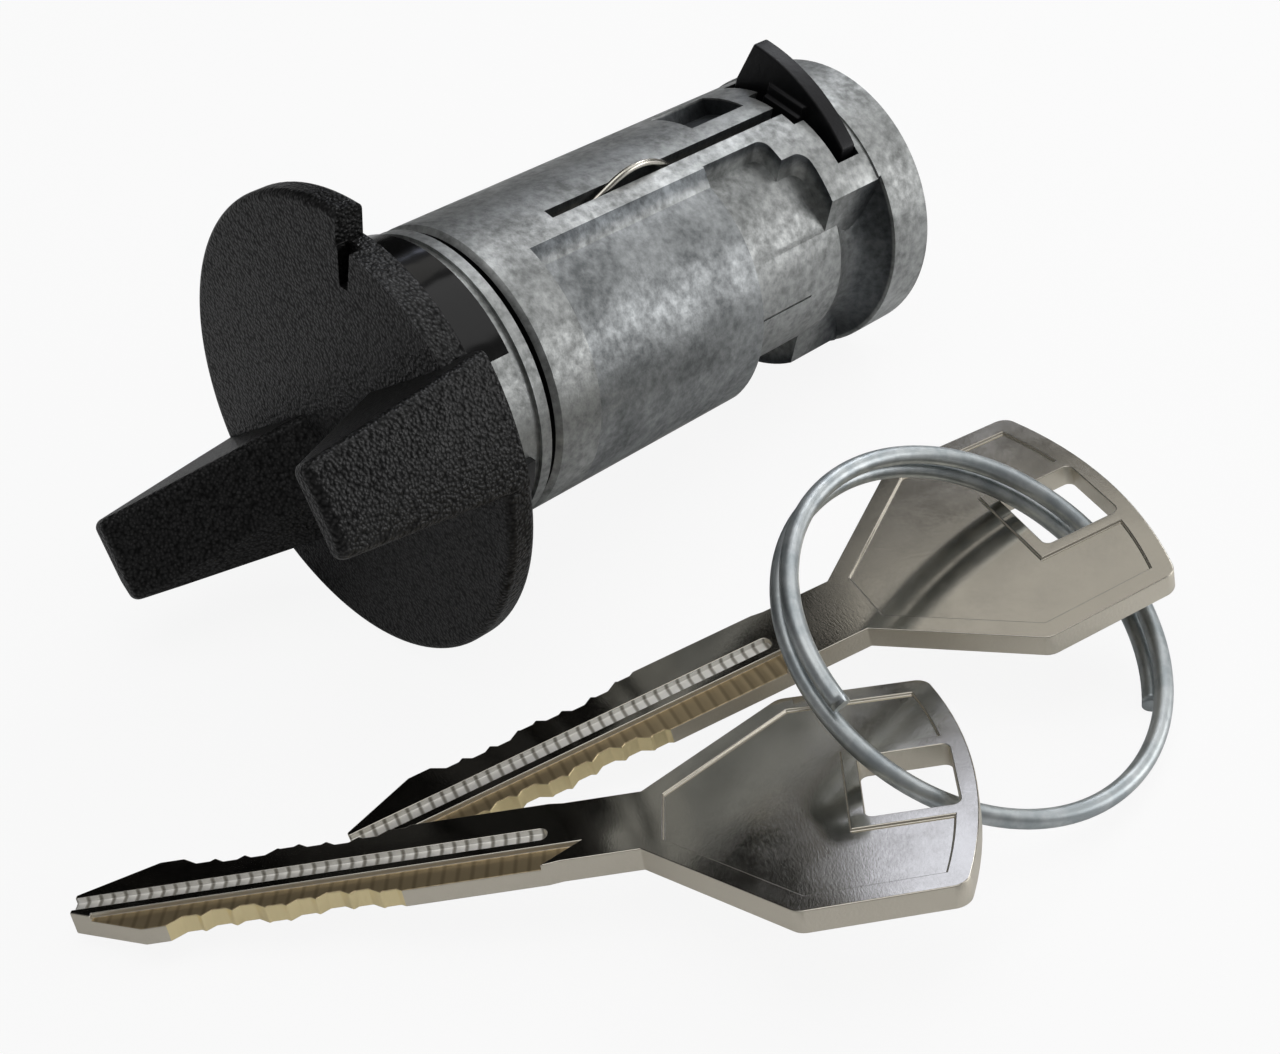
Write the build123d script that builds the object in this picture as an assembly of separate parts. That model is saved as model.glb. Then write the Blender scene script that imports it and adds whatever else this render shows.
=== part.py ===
from build123d import *
import math
import os

# Ignition lock cylinder with its wing knob and its set of two keys on a wire ring.
# The lock axis is Y, with the front at -Y. The origin is on that axis at the front rim of the case.
# Angles are seen from the front, counted from +X toward +Z. All sizes are in millimetres.

# Case, the zinc outer barrel
case_radius = 14.8
case_length = 53.0
case_edge = 0.5
cut_margin = 2.0
front_band = 5.3
panel_rear = 28.2
panel_deep_angle = 64.0
panel_low_angle = -75.0
panel_shallow = 0.25
panel_floor_shift = 0.95
shelf_side = 2.6
shelf_height = 14.6
shelf_slope = 0.82
waist_depth = 2.4
waist_low_angle = -130.0
rear_ring_length = 6.0
rear_ring_step = 0.2
cove_width = 3.25
cove_rise = 0.3
land_front = 13.1
land_side = 10.3
upper_pocket_side = 2.4
upper_pocket_from_rear = 16.25
upper_pocket_corner = 1.2
lower_pocket_side = 5.3
lower_pocket_corner = 1.5
score_angle = -7.0
score_width = 0.25
score_length = 7.2
top_pocket_from_rear = 21.0
top_pocket_length = 7.5
top_pocket_start = 89.0
top_pocket_end = 112.0
top_pocket_depth = 1.8
end_wall = 7.5
rear_recess_radius = 10.0
rear_recess_depth = 3.6

# Plug, the part that turns in the case
barrel_wall = 4.3
running_clearance = 0.06
flange_thickness = 1.2
flange_gap = 0.9
head_step = 0.4
head_front = 7.6
end_play = 0.4
journal_radius = 3.2
tang_width = 5.4
tang_thickness = 2.6
tang_length = 4.0
clip_radius = 5.6
clip_thickness = 0.9
clip_gap = 0.25
clip_groove_depth = 0.7

# Grip direction: the keyway, the wafers and the knob's wings all follow it
grip_angle = 34.0
grip_offset = -3.4
keyway_width = 9.2
keyway_thickness = 2.9
keyway_depth = 37.0

# Wafers and their springs
wafer_count = 8
wafer_thickness = 1.1
wafer_width = 7.0
wafer_slot_clearance = 0.1
wafer_back = 7.0
wafer_travel = 0.8
wafer_flush = 0.1
wafer_window_width = 3.3
wafer_window_length = 9.0
lug_start = 1.0
lug_length = 1.6
lug_reach = 1.8
spring_radius = 0.75
spring_wall = 0.25
spring_pocket_clearance = 0.15
spring_seat = 4.6
spring_end_gap = 0.05
case_groove_width = 4.0
case_groove_depth = 0.8

# Knob
lobe_radius = 22.7
knob_front = 13.0
disc_thickness = 3.0
upper_lobe_start = 86.0
upper_lobe_end = 209.0
lower_lobe_start = 241.0
lower_lobe_end = 369.0
saddle_depth = 3.2
lobe_edge = 0.8
notch_angle = 83.0
notch_length = 7.2
notch_outer_width = 2.3
notch_inner_width = 1.1
notch_depth = 1.4
wing_height = 17.0
wing_tip_inset = 0.5
wing_root_over = 0.5
wing_end_over = 0.2
wing_tip_wall = 2.1
wing_tip_top = 4.1
wing_tip_low = 4.2
wing_base_top = 6.1
wing_base_low = 6.4
valley_half = 5.9
wing_edge = 0.9
scoop_width = 5.0
skirt_step = 0.4
skirt_clearance = 0.05
skirt_rear_gap = 2.4
window_start = -3.0
window_end = 37.0
window_front = 5.7

# Retaining tab and its wire spring
tab_angle = 78.0
tab_slot_from_rear = 10.1
tab_slot_length = 3.2
tab_slot_low = 7.8
tab_slot_high = 8.4
tab_slot_spare = 0.7
tab_thickness = 2.0
tab_side_clearance = 0.15
tab_peak_rise = 3.4
tab_peak_side = 6.6
tab_crown_rise = 2.7
tab_shoulder_drop = 1.4
tab_shoulder_side = 7.2
tab_high_side = 7.9
tab_depth = 5.8
tab_travel = 4.4
ledge_low_side = -1.6
ledge_high_side = 3.4
ledge_drop = 2.8
ledge_height = 2.2
ledge_depth = 0.8
ledge_step_height = 1.1
ledge_step_depth = 0.4
notch_front_low = -2.4
notch_front_high = 4.0
notch_front_length = 1.4
wire_slot_front = 10.0
wire_slot_width = 1.2
wire_slot_depth = 3.6
wire_radius = 0.35
wire_seat = 0.3
bow_front = 13.5
bow_peak = 21.5
bow_rear = 28.5
bow_height = 2.2
bow_bend = 6.0

# Keys
key_length = 76.5
key_thickness = 2.2
blade_length = 48.9
blade_half_width = 4.2
blade_tip_half = 1.2
blade_tip_length = 6.8
neck_half_width = 4.0
bow_corner = 61.0
bow_half_width = 14.8
bow_end_half = 14.4
bow_end_corner = 74.1
bow_corner_radius = 1.6
border_width = 1.9
border_depth = 0.25
hole_start = 67.2
hole_end = 74.9
hole_half_width = 4.2
hole_corner = 0.7
hole_frame = 1.3
milling_width = 1.5
milling_depth = 0.55
milling_start = -1.5
milling_end = 41.0
relief_side = 1.65
relief_depth = 0.5
relief_start = 2.0
relief_end = 43.8
relief_run_out = 4.5
cut_first = 10.8
cut_pitch = 2.45
cut_flat = 1.2
cut_slope = 1.4
cut_depths = (0.9, 1.2, 1.2, 0.6, 0.9, 1.2, 0.9, 0.3)
key_tip_gap = 1.0

# Key ring
ring_wire_radius = 0.85
ring_radius = 18.13
ring_turn_gap = 0.45
ring_step = 90.0

# Poses of the loose set on the surface that the lock lies on
near_tip = (10.29, -52.88, 3.00)
near_heading = 46.91
near_pitch = 5.71
near_roll = -12.86
far_tip = (22.50, -32.48, 2.34)
far_heading = 69.05
far_pitch = 6.68
far_roll = -5.09
ring_centre = (52.14, 15.76, 10.15)
ring_lean = 26.94
ring_lean_heading = 17.36
ring_start = 248.2
ring_sweep = 588.9


def disc(radius, front, rear):
    """Cylinder on the lock axis between two stations along Y."""
    return Pos(0, (front + rear) / 2, 0) * Rot(90, 0, 0) * Cylinder(radius, rear - front)


def sector(inner, outer, front, rear, start, end):
    """Block of a ring about the lock axis, between two radii, stations and angles."""
    face = Pos((inner + outer) / 2, (front + rear) / 2, 0) * Rectangle(outer - inner, rear - front)
    return Rot(0, -end, 0) * revolve(face, Axis.Y, end - start)


def radial_plane(angle):
    """Plane with X pointing away from the axis at an angle, Y toward growing angles and Z to the front."""
    a = math.radians(angle)
    return Plane(origin=(0, 0, 0), x_dir=(math.cos(a), 0, math.sin(a)), z_dir=(0, -1, 0))


def prism(angle, outline, front, rear):
    """Solid with an outline drawn in a radial plane, between two stations along Y."""
    return radial_plane(angle) * extrude(Pos(0, 0, -rear) * outline, rear - front)


def span(low, high, side_low, side_high):
    """Rectangle between two distances from the axis and two sideways places."""
    return Pos((low + high) / 2, (side_low + side_high) / 2) * Rectangle(high - low, side_high - side_low)


def save(shape, name):
    export_step(shape, os.path.join("parts", name + ".step"))
    return shape


def polar(radius, angle):
    return (radius * math.cos(math.radians(angle)), radius * math.sin(math.radians(angle)))


waist_radius = case_radius - waist_depth
rear_ring_radius = case_radius + rear_ring_step
ring_front = case_length - rear_ring_length
land_start = case_length - land_front
plug_radius = case_radius - barrel_wall
head_radius = case_radius - head_step
skirt_radius = case_radius + skirt_step
saddle_radius = lobe_radius - saddle_depth
wing_tip_length = 2 * (lobe_radius - wing_tip_inset)
tab_slot_front = case_length - tab_slot_from_rear
tab_slot_rear = tab_slot_front + tab_slot_length
tab_inner = case_radius - tab_depth
tab_slot_floor = tab_inner - tab_travel - tab_slot_spare
ledge_low = case_radius - ledge_drop
bore_radius = plug_radius + running_clearance
plug_rear = case_length - rear_recess_depth - end_wall - end_play
wafer_first = keyway_depth - key_tip_gap - cut_first - (wafer_count - 1) * cut_pitch
flange_front = -(flange_gap + flange_thickness)
tail_seat = case_length - rear_recess_depth
clip_front = tail_seat + clip_gap
tang_end = case_length + tang_length


def pocket(side_low, side_high, front, rear, corner):
    """Cutter sunk to the waist beside the tab's line, with its rear corner next to that line rounded."""
    a = math.radians(tab_angle)
    sunk = Plane(origin=(0, 0, 0), x_dir=(-math.sin(a), 0, math.cos(a)), z_dir=(math.cos(a), 0, math.sin(a)))
    outline = Pos((side_low + side_high) / 2, -(front + rear) / 2) * Rectangle(side_high - side_low, rear - front)
    outline = fillet(outline.vertices().sort_by(Axis.Y)[:2].sort_by(Axis.X)[-1], corner)
    return sunk * extrude(outline, case_radius + cut_margin) - disc(waist_radius, front - 1, rear + 1)


def build_case():
    case = disc(case_radius, 0, ring_front + 0.01) + disc(rear_ring_radius, ring_front, case_length)
    rims = case.edges().filter_by(GeomType.CIRCLE).sort_by(Axis.Y)
    case = chamfer([rims[0], rims[-1]], case_edge)
    case -= disc(bore_radius, -1, plug_rear + end_play)
    case -= disc(journal_radius + running_clearance, 0, case_length + 1)
    case -= disc(rear_recess_radius, tail_seat, case_length + 1)
    key_way = span(0, bore_radius + 1, grip_offset - case_groove_width / 2,
                   grip_offset + case_groove_width / 2) & Circle(bore_radius + case_groove_depth)
    for side in (0, 180):
        mirrored = key_way if side == 0 else mirror(key_way, Plane.XZ)
        case -= prism(grip_angle + side, mirrored, wafer_first - cut_pitch / 2, plug_rear)
    beyond = rear_ring_radius + cut_margin
    floor_shift = polar(panel_floor_shift, panel_deep_angle + 180)
    floor = Pos(floor_shift[0], 0, floor_shift[1]) * disc(case_radius - panel_shallow, 0, case_length)
    shelf_foot = -shelf_side - shelf_slope * (shelf_height - waist_radius)
    shelf_head = -shelf_side + shelf_slope * (beyond - shelf_height)
    below_shelf = make_face(Polyline((0, -beyond * 2), (beyond, -beyond * 2), (beyond, shelf_head),
                                     (waist_radius, shelf_foot), (0, shelf_foot), (0, -beyond * 2)))
    panel = sector(waist_radius, beyond, front_band, panel_rear, panel_low_angle, tab_angle)
    panel = panel & prism(tab_angle, span(-beyond, 0, -beyond, beyond) + below_shelf, front_band, panel_rear)
    case -= panel - floor
    waist_front = panel_rear - 0.01
    case -= sector(waist_radius, beyond, waist_front, land_start, waist_low_angle, 0)
    case -= pocket(-beyond, -lower_pocket_side, waist_front, land_start, lower_pocket_corner)
    case -= pocket(-land_side, -upper_pocket_side, waist_front, case_length - upper_pocket_from_rear,
                   upper_pocket_corner)
    cove_middle = ring_front - cove_width
    scoop = Pos(beyond - cut_margin + cove_rise, cove_middle, 0) * Circle(cove_width + cove_rise)
    groove = sector(waist_radius, beyond, land_start - 0.01, cove_middle, waist_low_angle, tab_angle)
    groove += Rot(0, -tab_angle, 0) * revolve(scoop, Axis.Y, tab_angle - waist_low_angle)
    case -= groove & prism(tab_angle, span(-beyond, beyond, -beyond, -land_side), waist_front, case_length)
    case -= prism(score_angle, span(waist_radius - score_width, beyond, -score_width / 2, score_width / 2),
                  panel_rear + cut_margin, panel_rear + cut_margin + score_length)
    top_front = case_length - top_pocket_from_rear
    case -= sector(case_radius - top_pocket_depth, beyond, top_front, top_front + top_pocket_length,
                   top_pocket_start, top_pocket_end)
    slot_floor = case_radius - wire_slot_depth
    slot = span(slot_floor, beyond, -wire_slot_width / 2, wire_slot_width / 2)
    case -= prism(tab_angle, slot, wire_slot_front, tab_slot_front + 0.5)
    mouth = span(slot_floor, beyond, notch_front_low, notch_front_high)
    case -= prism(tab_angle, mouth, tab_slot_front - notch_front_length, tab_slot_front + 0.5)
    tab_slot = span(tab_slot_floor, beyond, -tab_slot_low, tab_slot_high)
    return case - prism(tab_angle, tab_slot, tab_slot_front, tab_slot_rear)


def build_tab():
    rear = tab_slot_rear - tab_side_clearance
    front = rear - tab_thickness
    peak = case_radius + tab_peak_rise
    shoulder = case_radius - tab_shoulder_drop
    outline = make_face([
        Line((tab_inner, -tab_shoulder_side), (shoulder, -tab_shoulder_side)),
        ThreePointArc((shoulder, -tab_shoulder_side), (case_radius + tab_crown_rise, 0.6), (peak, tab_peak_side)),
        Line((peak, tab_peak_side), (shoulder, tab_high_side)),
        Line((shoulder, tab_high_side), (tab_inner, tab_high_side)),
        Line((tab_inner, tab_high_side), (tab_inner, -tab_shoulder_side)),
    ])
    plate = prism(tab_angle, outline, front, rear)
    ledge_top = ledge_low + ledge_height
    ledge = span(ledge_low, ledge_top, ledge_low_side, ledge_high_side)
    step = span(ledge_low, ledge_top + ledge_step_height, ledge_low_side, ledge_high_side)
    plate += prism(tab_angle, ledge, front - ledge_depth, front + 0.01)
    return plate + prism(tab_angle, step, front - ledge_step_depth, front + 0.01)


def build_tab_spring():
    floor = case_radius - wire_slot_depth + wire_seat + wire_radius
    under_ledge = ledge_low - wire_radius - running_clearance
    rear = tab_slot_rear - tab_side_clearance - tab_thickness - wire_radius - running_clearance
    stations = [
        (wire_slot_front + 0.6, floor),
        (bow_front, floor + 0.5),
        (bow_peak, case_radius + bow_height),
        (bow_rear, floor + 0.5),
        (rear - 6, floor),
        (rear, under_ledge),
    ]
    a = math.radians(tab_angle)
    points = [Vector(r * math.cos(a), y, r * math.sin(a)) for y, r in stations]
    path = FilletPolyline(*points, radius=bow_bend)
    start = Plane(origin=points[0], z_dir=points[1] - points[0])
    return sweep(start * Circle(wire_radius), path=path)


def wafer_side(index):
    """Wafers spring out on alternate sides of the plug."""
    return 1 if index % 2 == 0 else -1


def wafer_station(index):
    return wafer_first + index * cut_pitch


def along_grip(outline, index):
    """Outline in the grip plane, turned over for the wafers that spring out on the far side."""
    return outline if wafer_side(index) > 0 else mirror(outline, Plane.YZ)


def build_plug():
    plug = disc(plug_radius, -flange_gap - 0.01, plug_rear)
    plug += disc(case_radius, flange_front, -flange_gap)
    plug += disc(head_radius, -head_front, flange_front + 0.01)
    plug += disc(journal_radius, plug_rear - 0.01, tang_end - tang_length + 0.4)
    tang = span(-tang_width / 2, tang_width / 2, -tang_thickness / 2, tang_thickness / 2)
    plug += prism(grip_angle, tang, case_length, tang_end)
    groove_front = clip_front - running_clearance
    groove_rear = clip_front + clip_thickness + running_clearance
    plug -= disc(journal_radius + 1, groove_front, groove_rear) - disc(
        journal_radius - clip_groove_depth, groove_front, groove_rear)
    keyway = span(-keyway_width / 2, keyway_width / 2, grip_offset - keyway_thickness / 2,
                  grip_offset + keyway_thickness / 2)
    plug -= prism(grip_angle, keyway, -head_front - 1, keyway_depth)
    half_slot = wafer_thickness / 2 + wafer_slot_clearance
    half_width = wafer_width / 2 + wafer_slot_clearance
    lug_side = grip_offset + wafer_width / 2
    for index in range(wafer_count):
        station = wafer_station(index)
        slot = span(-plug_radius - 1, plug_radius + 1, grip_offset - half_width, grip_offset + half_width)
        lug_way = span(lug_start - wafer_travel - wafer_slot_clearance,
                       lug_start + lug_length + wafer_slot_clearance,
                       grip_offset, lug_side + lug_reach + wafer_slot_clearance)
        slot += along_grip(lug_way, index)
        plug -= prism(grip_angle, slot, station - half_slot, station + half_slot)
        plug -= spring_place(index, spring_radius + spring_pocket_clearance, spring_seat, lug_start)
    return plug


def spring_place(index, radius, seat, end):
    """Cylinder along the grip direction beside a wafer, where its spring sits."""
    length = seat + end
    middle = (end - seat) / 2 * wafer_side(index)
    beside = grip_offset + wafer_width / 2 + lug_reach / 2
    turned = Pos(middle, beside, -wafer_station(index)) * Rot(0, 90, 0) * Cylinder(radius, length)
    return radial_plane(grip_angle) * turned


def build_wafer(index):
    station = wafer_station(index)
    side = wafer_width / 2
    blank = span(-wafer_back, plug_radius, grip_offset - side, grip_offset + side)
    blank = blank & Circle(plug_radius - wafer_flush)
    blank += span(lug_start, lug_start + lug_length, grip_offset + side - 0.01, grip_offset + side + lug_reach)
    blank -= span(-wafer_window_length / 2, wafer_window_length / 2,
                  grip_offset - wafer_window_width / 2, grip_offset + wafer_window_width / 2)
    return prism(grip_angle, along_grip(blank, index), station - wafer_thickness / 2,
                 station + wafer_thickness / 2)


def build_wafer_spring(index):
    seat = spring_seat - spring_end_gap
    end = lug_start - spring_end_gap
    outer = spring_place(index, spring_radius, seat, end)
    return outer - spring_place(index, spring_radius - spring_wall, seat + 1, end + 1)


def build_clip():
    outline = Circle(clip_radius) - Circle(journal_radius - clip_groove_depth + running_clearance)
    mouth = journal_radius - clip_groove_depth
    outline -= span(0, clip_radius + 1, -mouth * 0.8, mouth * 0.8)
    return prism(grip_angle + 90, outline, clip_front, clip_front + clip_thickness)


def build_knob():
    disc_rear = -(knob_front - disc_thickness)
    plate = Circle(saddle_radius)
    for start, end in ((upper_lobe_start, upper_lobe_end), (lower_lobe_start, lower_lobe_end)):
        middle = (start + end) / 2
        reach = lobe_radius * 3
        wedge = make_face(Polyline((0, 0), polar(reach, start), polar(reach, middle), polar(reach, end), (0, 0)))
        plate += Circle(lobe_radius) & wedge
    knob = prism(0, plate, -knob_front, disc_rear)
    rim = [edge for edge in knob.edges().filter_by(GeomType.CIRCLE) if edge.radius > saddle_radius + 1]
    knob = fillet(rim, lobe_edge)
    knob += disc(skirt_radius, disc_rear - 0.01, -(flange_gap + skirt_rear_gap))
    knob += build_wings()
    knob -= disc(head_radius + skirt_clearance, -head_front, 1)
    notch = make_face(Polyline(
        (lobe_radius - notch_length, -notch_inner_width / 2), (lobe_radius + 1, -notch_outer_width / 2),
        (lobe_radius + 1, notch_outer_width / 2), (lobe_radius - notch_length, notch_inner_width / 2),
        (lobe_radius - notch_length, -notch_inner_width / 2)))
    knob -= prism(notch_angle, notch, -knob_front - 1, -knob_front + notch_depth)
    for turn in (0, 180):
        knob -= sector(head_radius - 1, skirt_radius + 1, -window_front, 1,
                       window_start + turn, window_end + turn)
    keyway = span(-keyway_width / 2 - 0.4, keyway_width / 2 + 0.4,
                  grip_offset - keyway_thickness / 2 - 0.3, grip_offset + keyway_thickness / 2 + 0.3)
    return knob - prism(grip_angle, keyway, -knob_front - 2, 0)


def build_wings():
    base = span(-lobe_radius - wing_root_over, lobe_radius + wing_root_over, grip_offset - wing_base_low, grip_offset + wing_base_top)
    tip = span(-wing_tip_length / 2, wing_tip_length / 2, grip_offset - wing_tip_low, grip_offset + wing_tip_top)
    root = knob_front - disc_thickness + 0.5
    top = knob_front + wing_height
    bar = loft([Pos(0, 0, root) * base, Pos(0, 0, top) * tip])
    bar = radial_plane(grip_angle) * bar & disc(lobe_radius + wing_end_over, -top - 1, -root + 1)
    inner = wing_tip_length / 2 - wing_tip_wall
    lip = (inner - valley_half) * 1.2 / wing_height
    valley = make_face(Polyline(
        (-valley_half, knob_front), (valley_half, knob_front), (inner, top), (inner + lip, top + 1.2),
        (-inner - lip, top + 1.2), (-inner, top), (-valley_half, knob_front)))
    across = Plane(origin=(0, 0, 0), x_dir=(math.cos(math.radians(grip_angle)), 0,
                   math.sin(math.radians(grip_angle))),
                   z_dir=(math.sin(math.radians(grip_angle)), 0, -math.cos(math.radians(grip_angle))))
    bar -= extrude(across * valley, lobe_radius, both=True)
    edges = [edge for edge in bar.edges() if edge.center().Y < -knob_front - 1]
    bar = fillet(edges, wing_edge)
    tip_corner = Vector(inner, grip_offset - wing_tip_low, top)
    low = grip_offset - wing_base_low
    root_corner = Vector(valley_half, low + scoop_width, knob_front)
    side_corner = Vector(valley_half + scoop_width, low, knob_front)
    facing = (tip_corner - root_corner).cross(side_corner - root_corner)
    if facing.X > 0:
        facing = facing * -1
    block = Plane(origin=root_corner, z_dir=facing) * extrude(Rectangle(lobe_radius * 4, lobe_radius * 4), lobe_radius)
    scoop = block & extrude(Pos(0, 0, knob_front) * span(0, lobe_radius, -lobe_radius, lobe_radius), wing_height + 1)
    for side in (scoop, mirror(scoop, Plane.YZ)):
        bar -= radial_plane(grip_angle) * side
    return bar


def rest_surface():
    """Plane that the lying lock touches with its lower lobe and the rear rim of its case."""
    rear = (case_length - case_edge, -rear_ring_radius)
    front = (-(knob_front - disc_thickness) - lobe_edge, -(lobe_radius - lobe_edge))
    run = rear[0] - front[0]
    rise = rear[1] - front[1]
    tilt = math.atan2(rise, run) + math.asin(lobe_edge / math.hypot(run, rise))
    height = rear[1] - rear[0] * math.tan(tilt)
    return Plane(origin=(0, 0, height), x_dir=(1, 0, 0), z_dir=(0, -math.sin(tilt), math.cos(tilt)))


def mirrored_side(points):
    return [(u, -v) for u, v in reversed(points)]


def key_face():
    side = [
        (0, blade_tip_half),
        (blade_tip_length, blade_half_width),
        (milling_end, blade_half_width),
        (milling_end + cut_flat, neck_half_width),
        (blade_length, neck_half_width),
        (bow_corner, bow_half_width),
        (bow_end_corner, bow_end_half),
    ]
    far_side = mirrored_side(side)
    face = make_face([
        Polyline(*side),
        ThreePointArc(side[-1], (key_length, 0), far_side[0]),
        Polyline(*far_side),
        Line(far_side[-1], side[0]),
    ])
    corners = [vertex for vertex in face.vertices() if bow_corner - 1 < vertex.X < bow_end_corner + 1]
    return fillet(corners, bow_corner_radius)


def key_cuts():
    notches = []
    for index, depth in enumerate(cut_depths):
        middle = cut_first + index * cut_pitch
        half = cut_flat / 2
        mouth = half + (depth + 0.5) * cut_slope
        for side in (1, -1):
            floor = side * (blade_half_width - depth)
            open_end = side * (blade_half_width + 0.5)
            notches.append(make_face(Polyline(
                (middle - half, floor), (middle + half, floor), (middle + mouth, open_end),
                (middle - mouth, open_end), (middle - half, floor))))
    return notches


def build_key():
    face = key_face()
    hole = fillet(span(hole_start, hole_end, -hole_half_width, hole_half_width).vertices(), hole_corner)
    bow = face & span(blade_length, key_length + 1, -bow_half_width - 1, bow_half_width + 1)
    field = offset(bow, -border_width, kind=Kind.INTERSECTION)
    frame = span(hole_start - hole_frame, hole_end + hole_frame,
                 -hole_half_width - hole_frame, hole_half_width + hole_frame)
    field -= frame
    flat = face - hole
    for notch in key_cuts():
        flat -= notch
    key = extrude(Pos(0, 0, -key_thickness) * flat, key_thickness)
    milling = fillet(span(milling_start, milling_end, -milling_width / 2, milling_width / 2).vertices(),
                     milling_width * 0.45)
    for shape, depth in ((field, border_depth), (milling, milling_depth)):
        key -= extrude(Pos(0, 0, -depth) * shape, depth + 1)
        key -= extrude(Pos(0, 0, -key_thickness - 1) * shape, depth + 1)
    outer = blade_half_width + 1
    relief = make_face(Polyline(
        (relief_start, -outer), (relief_start, -relief_side), (relief_end, -relief_side),
        (relief_end - relief_run_out, -outer), (relief_start, -outer)))
    key -= extrude(Pos(0, 0, -relief_depth) * relief, relief_depth + 1)
    key -= extrude(Pos(0, 0, -key_thickness - 1) * mirror(relief, Plane.XZ), relief_depth + 1)
    return key


def key_place(tip, heading, pitch, roll):
    return (rest_surface().location * Pos(*tip) * Rot(0, 0, heading) * Rot(0, -pitch, 0) * Rot(roll, 0, 0))


def ring_point(turned):
    """Centre of the ring's wire and its direction, after an angle turned from the wire's first end."""
    a = math.radians(ring_start - turned)
    pitch = 2 * ring_wire_radius + ring_turn_gap
    height = pitch * (ring_sweep / 2 - turned) / 360
    slope = -pitch / (2 * math.pi)
    point = Vector(ring_radius * math.cos(a), ring_radius * math.sin(a), height)
    way = Vector(ring_radius * math.sin(a), -ring_radius * math.cos(a), slope)
    return point, way.normalized()


def ring_arcs():
    """Pairs of arcs that follow the winding, smooth from each to the next."""
    pieces = []
    steps = math.ceil(ring_sweep / ring_step)
    for index in range(steps):
        start, start_way = ring_point(ring_sweep * index / steps)
        end, end_way = ring_point(ring_sweep * (index + 1) / steps)
        across = end - start
        both = start_way + end_way
        bend = 2 * (1 - start_way.dot(end_way))
        along = across.dot(both)
        reach = (-along + math.sqrt(along ** 2 + bend * across.dot(across))) / bend
        middle = (start + end + (start_way - end_way) * reach) * 0.5
        pieces.append(TangentArc(start, middle, tangent=start_way))
        middle_way = (middle - start - start_way * reach).normalized()
        pieces.append(TangentArc(middle, end, tangent=middle_way))
    return pieces


def build_ring():
    path = Wire(ring_arcs())
    start, way = ring_point(0)
    return sweep(Plane(origin=start, z_dir=way) * Circle(ring_wire_radius), path=path)


def least_turn_gap():
    """Least distance between the surfaces of two turns of the ring's wire."""
    steps = 2 * int(ring_sweep)
    points = [ring_point(ring_sweep * index / steps)[0] for index in range(steps + 1)]
    apart = int(180 * steps / ring_sweep)
    nearest = min((points[i] - points[j]).length for i in range(0, steps + 1, 3)
                  for j in range(i + apart, steps + 1))
    return nearest - 2 * ring_wire_radius


os.makedirs("parts", exist_ok=True)
save(build_case(), "case_housing")
save(build_tab(), "retaining_tab")
save(build_tab_spring(), "retainer_spring")
save(build_plug(), "plug")
save(build_knob(), "knob")
save(build_clip(), "retaining_clip")
for number in range(wafer_count):
    save(build_wafer(number), "wafer_%d" % (number + 1))
    save(build_wafer_spring(number), "wafer_spring_%d" % (number + 1))
key_solid = build_key()
save(key_place(near_tip, near_heading, near_pitch, near_roll) * key_solid, "near_key")
save(key_place(far_tip, far_heading, far_pitch, far_roll) * key_solid, "far_key")
ring_place = rest_surface().location * Pos(*ring_centre) * Rot(0, 0, ring_lean_heading) * Rot(0, ring_lean, 0)
save(ring_place * build_ring(), "key_ring")
print("least gap between turns of the ring: %.2f mm" % least_turn_gap())
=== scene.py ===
import math
import bpy
import bmesh
from mathutils import Matrix, Vector


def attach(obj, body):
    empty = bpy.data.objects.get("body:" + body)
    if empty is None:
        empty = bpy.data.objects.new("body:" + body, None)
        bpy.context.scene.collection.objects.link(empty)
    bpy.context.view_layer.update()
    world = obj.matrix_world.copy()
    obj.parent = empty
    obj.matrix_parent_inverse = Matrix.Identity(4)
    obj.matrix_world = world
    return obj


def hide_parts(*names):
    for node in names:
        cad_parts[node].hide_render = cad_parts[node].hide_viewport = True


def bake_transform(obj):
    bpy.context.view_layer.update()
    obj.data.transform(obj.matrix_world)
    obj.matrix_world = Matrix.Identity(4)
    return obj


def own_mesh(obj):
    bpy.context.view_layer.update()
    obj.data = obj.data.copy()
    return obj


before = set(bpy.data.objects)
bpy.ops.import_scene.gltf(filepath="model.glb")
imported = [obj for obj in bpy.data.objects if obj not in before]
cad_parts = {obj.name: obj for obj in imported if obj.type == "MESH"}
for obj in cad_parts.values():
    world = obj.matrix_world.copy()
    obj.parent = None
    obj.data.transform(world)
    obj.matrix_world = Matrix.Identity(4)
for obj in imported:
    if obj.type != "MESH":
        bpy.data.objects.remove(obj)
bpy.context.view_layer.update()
print("frame loaded")


def linearColor(hexValue):
    parts = [int(hexValue[i:i + 2], 16) / 255 for i in (0, 2, 4)]
    out = [c / 12.92 if c <= 0.04045 else ((c + 0.055) / 1.055) ** 2.4 for c in parts]
    return (*out, 1.0)


# Adds a shader node. A number or an input's name sets that input, any other name sets the node itself
def addNode(tree, kind, settings, links=None):
    node = tree.nodes.new(kind)
    for name, value in settings.items():
        if isinstance(name, int) or name in node.inputs:
            node.inputs[name].default_value = value
        else:
            setattr(node, name, value)
    for name, source in (links or {}).items():
        tree.links.new(source, node.inputs[name])
    return node


# A material's start: its shader and the object's coordinates. With a key's place and turns, the
# coordinates follow that key, from its tip along the blade
def newMaterial(name, settings, place=None, turn=None):
    material = bpy.data.materials.new(name)
    material.use_nodes = True
    tree = material.node_tree
    tree.nodes.clear()
    shader = addNode(tree, "ShaderNodeBsdfPrincipled", settings)
    addNode(tree, "ShaderNodeOutputMaterial", {}, {0: shader.outputs[0]})
    coords = addNode(tree, "ShaderNodeTexCoord", {}).outputs["Object"]
    if place:
        onKey = {"vector_type": "TEXTURE", "Location": place, "Rotation": turn}
        coords = addNode(tree, "ShaderNodeMapping", onKey, {0: coords}).outputs[0]
    return material, tree, shader.inputs, coords


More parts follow.
